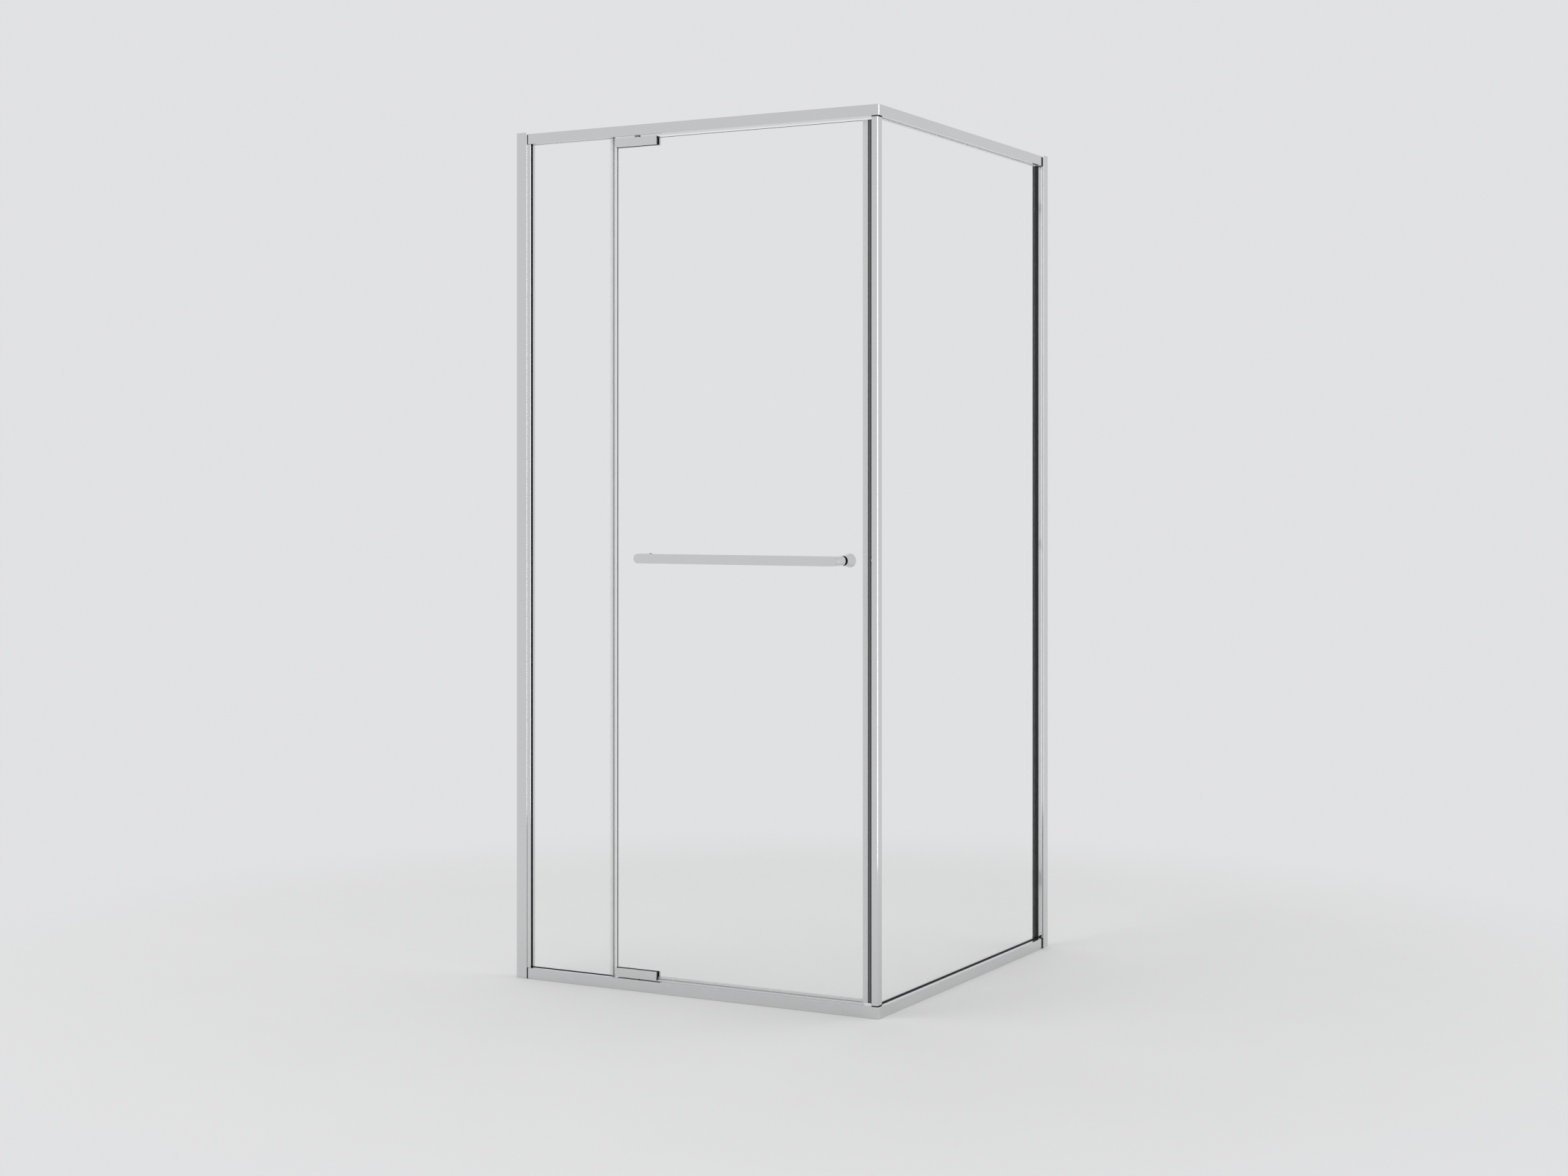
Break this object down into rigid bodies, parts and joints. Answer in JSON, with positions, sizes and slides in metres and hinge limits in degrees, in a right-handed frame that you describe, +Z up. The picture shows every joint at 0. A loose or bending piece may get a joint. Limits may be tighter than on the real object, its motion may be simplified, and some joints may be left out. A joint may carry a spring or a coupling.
{
  "type": "shower enclosure",
  "caption": "Square corner shower screen in bright rails: a full glass side, and a front with a narrow fixed pane beside a pivoting glass door with a horizontal bar handle.",
  "frame": {"origin": "on the floor, under the middle of the part's plan box, which reaches from the left wall to the side run's outer face and from the handle's front to the back wall", "axes": "+Z up; +X along the door front, from the left wall to the free corner; +Y from the door front into the room, along the side run to the back wall"},
  "size_m": [0.91, 0.954, 1.9035],
  "materials": {
    "bright_profile": "bright polished",
    "chrome_fitting": "mirror polished",
    "steel_fastener": "satin",
    "key_metal": "mill",
    "clear_glass": "clear toughened",
    "black_rubber": "matt",
    "black_nylon": "moulded",
    "grey_vinyl": "smooth extruded",
    "clear_vinyl": "clear extruded",
    "pale_nylon": "moulded"
  },
  "bodies": {
    "frame": {"left_wall_jamb": "bright_profile", "right_wall_jamb": "bright_profile", "left_glazing_channel": "bright_profile", "right_glazing_channel": "bright_profile", "left_channel_screw_low": "steel_fastener", "left_channel_screw_high": "steel_fastener", "right_channel_screw_low": "steel_fastener", "right_channel_screw_high": "steel_fastener", "left_gasket": "black_rubber", "right_gasket": "black_rubber", "left_sill_block": "black_nylon", "left_head_block": "black_nylon", "right_sill_block": "black_nylon", "right_head_block": "black_nylon", "front_sill": "bright_profile", "front_head_rail": "bright_profile", "side_sill": "bright_profile", "side_head_rail": "bright_profile", "sill_infill": "bright_profile", "head_infill": "bright_profile", "sill_corner_key": "key_metal", "head_corner_key": "key_metal", "corner_post": "bright_profile", "post_gasket": "black_rubber", "post_magnet_strip": "black_rubber", "fixed_glass": "clear_glass", "side_glass": "clear_glass", "fixed_sill_gasket": "black_rubber", "fixed_head_gasket": "grey_vinyl", "side_sill_gasket": "black_rubber", "side_head_gasket": "grey_vinyl", "inline_seal": "clear_vinyl", "sill_pivot_bush": "pale_nylon", "head_pivot_bush": "pale_nylon"},
    "door": {"door_glass": "clear_glass", "strike_strip": "grey_vinyl", "door_magnet_strip": "black_rubber", "drip_seal": "clear_vinyl", "sill_pivot_front_plate": "chrome_fitting", "sill_pivot_back_plate": "chrome_fitting", "sill_pivot_clamp_body": "black_nylon", "sill_pivot_pin": "steel_fastener", "sill_pivot_screw_1": "steel_fastener", "sill_pivot_screw_2": "steel_fastener", "head_pivot_front_plate": "chrome_fitting", "head_pivot_back_plate": "chrome_fitting", "head_pivot_clamp_body": "black_nylon", "head_pivot_pin": "steel_fastener", "head_pivot_screw_1": "steel_fastener", "head_pivot_screw_2": "steel_fastener", "handle_bar": "chrome_fitting", "handle_post_hinge_side": "chrome_fitting", "handle_post_closing_side": "chrome_fitting", "handle_grommet_hinge_side": "black_rubber", "handle_grommet_closing_side": "black_rubber", "handle_washer_hinge_side": "black_rubber", "handle_washer_closing_side": "black_rubber", "handle_cap_nut": "chrome_fitting", "handle_knob": "chrome_fitting"}
  },
  "joints": [
    {"name": "door_swing", "type": "hinge", "parent": "frame", "child": "door", "pos_m": [-0.1435, -0.426, 0.95], "axis": [0, 0, -1], "range_deg": [0, 100]}
  ]
}
